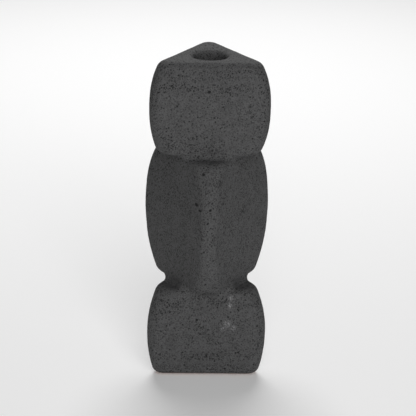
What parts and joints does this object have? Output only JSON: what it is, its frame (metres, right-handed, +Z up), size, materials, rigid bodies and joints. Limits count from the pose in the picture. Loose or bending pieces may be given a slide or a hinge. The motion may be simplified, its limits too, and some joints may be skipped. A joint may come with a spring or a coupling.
{
  "type": "totem vase",
  "caption": "Hollow stoneware vase built as a stack of turned, pillowed three-sided blocks that read as an abstract tiki figure, with a round mouth in its flat top and felt pads under its foot.",
  "frame": {"origin": "on the vase's upright axis, at the level it stands on", "axes": "+Z up along the axis and out of the mouth; -Y is the front, where the nose corner of the face block points; +X to the viewer's right"},
  "size_m": [0.1148, 0.1266, 0.3],
  "materials": {
    "clay_coat": "matte, dry, finely pitted volcanic coat",
    "bare_clay": "bare fired red-brown clay",
    "felt": "dense brown felt"
  },
  "bodies": {
    "root": {"base_block": "clay_coat", "floor_slab": "bare_clay", "lower_neck_ring": "clay_coat", "face_block": "clay_coat", "upper_neck_ring": "clay_coat", "head_block": "clay_coat", "top_slab": "clay_coat", "mouth_ring": "clay_coat", "foot_pad_front_left": "felt", "foot_pad_front_right": "felt", "foot_pad_rear": "felt"}
  },
  "joints": []
}
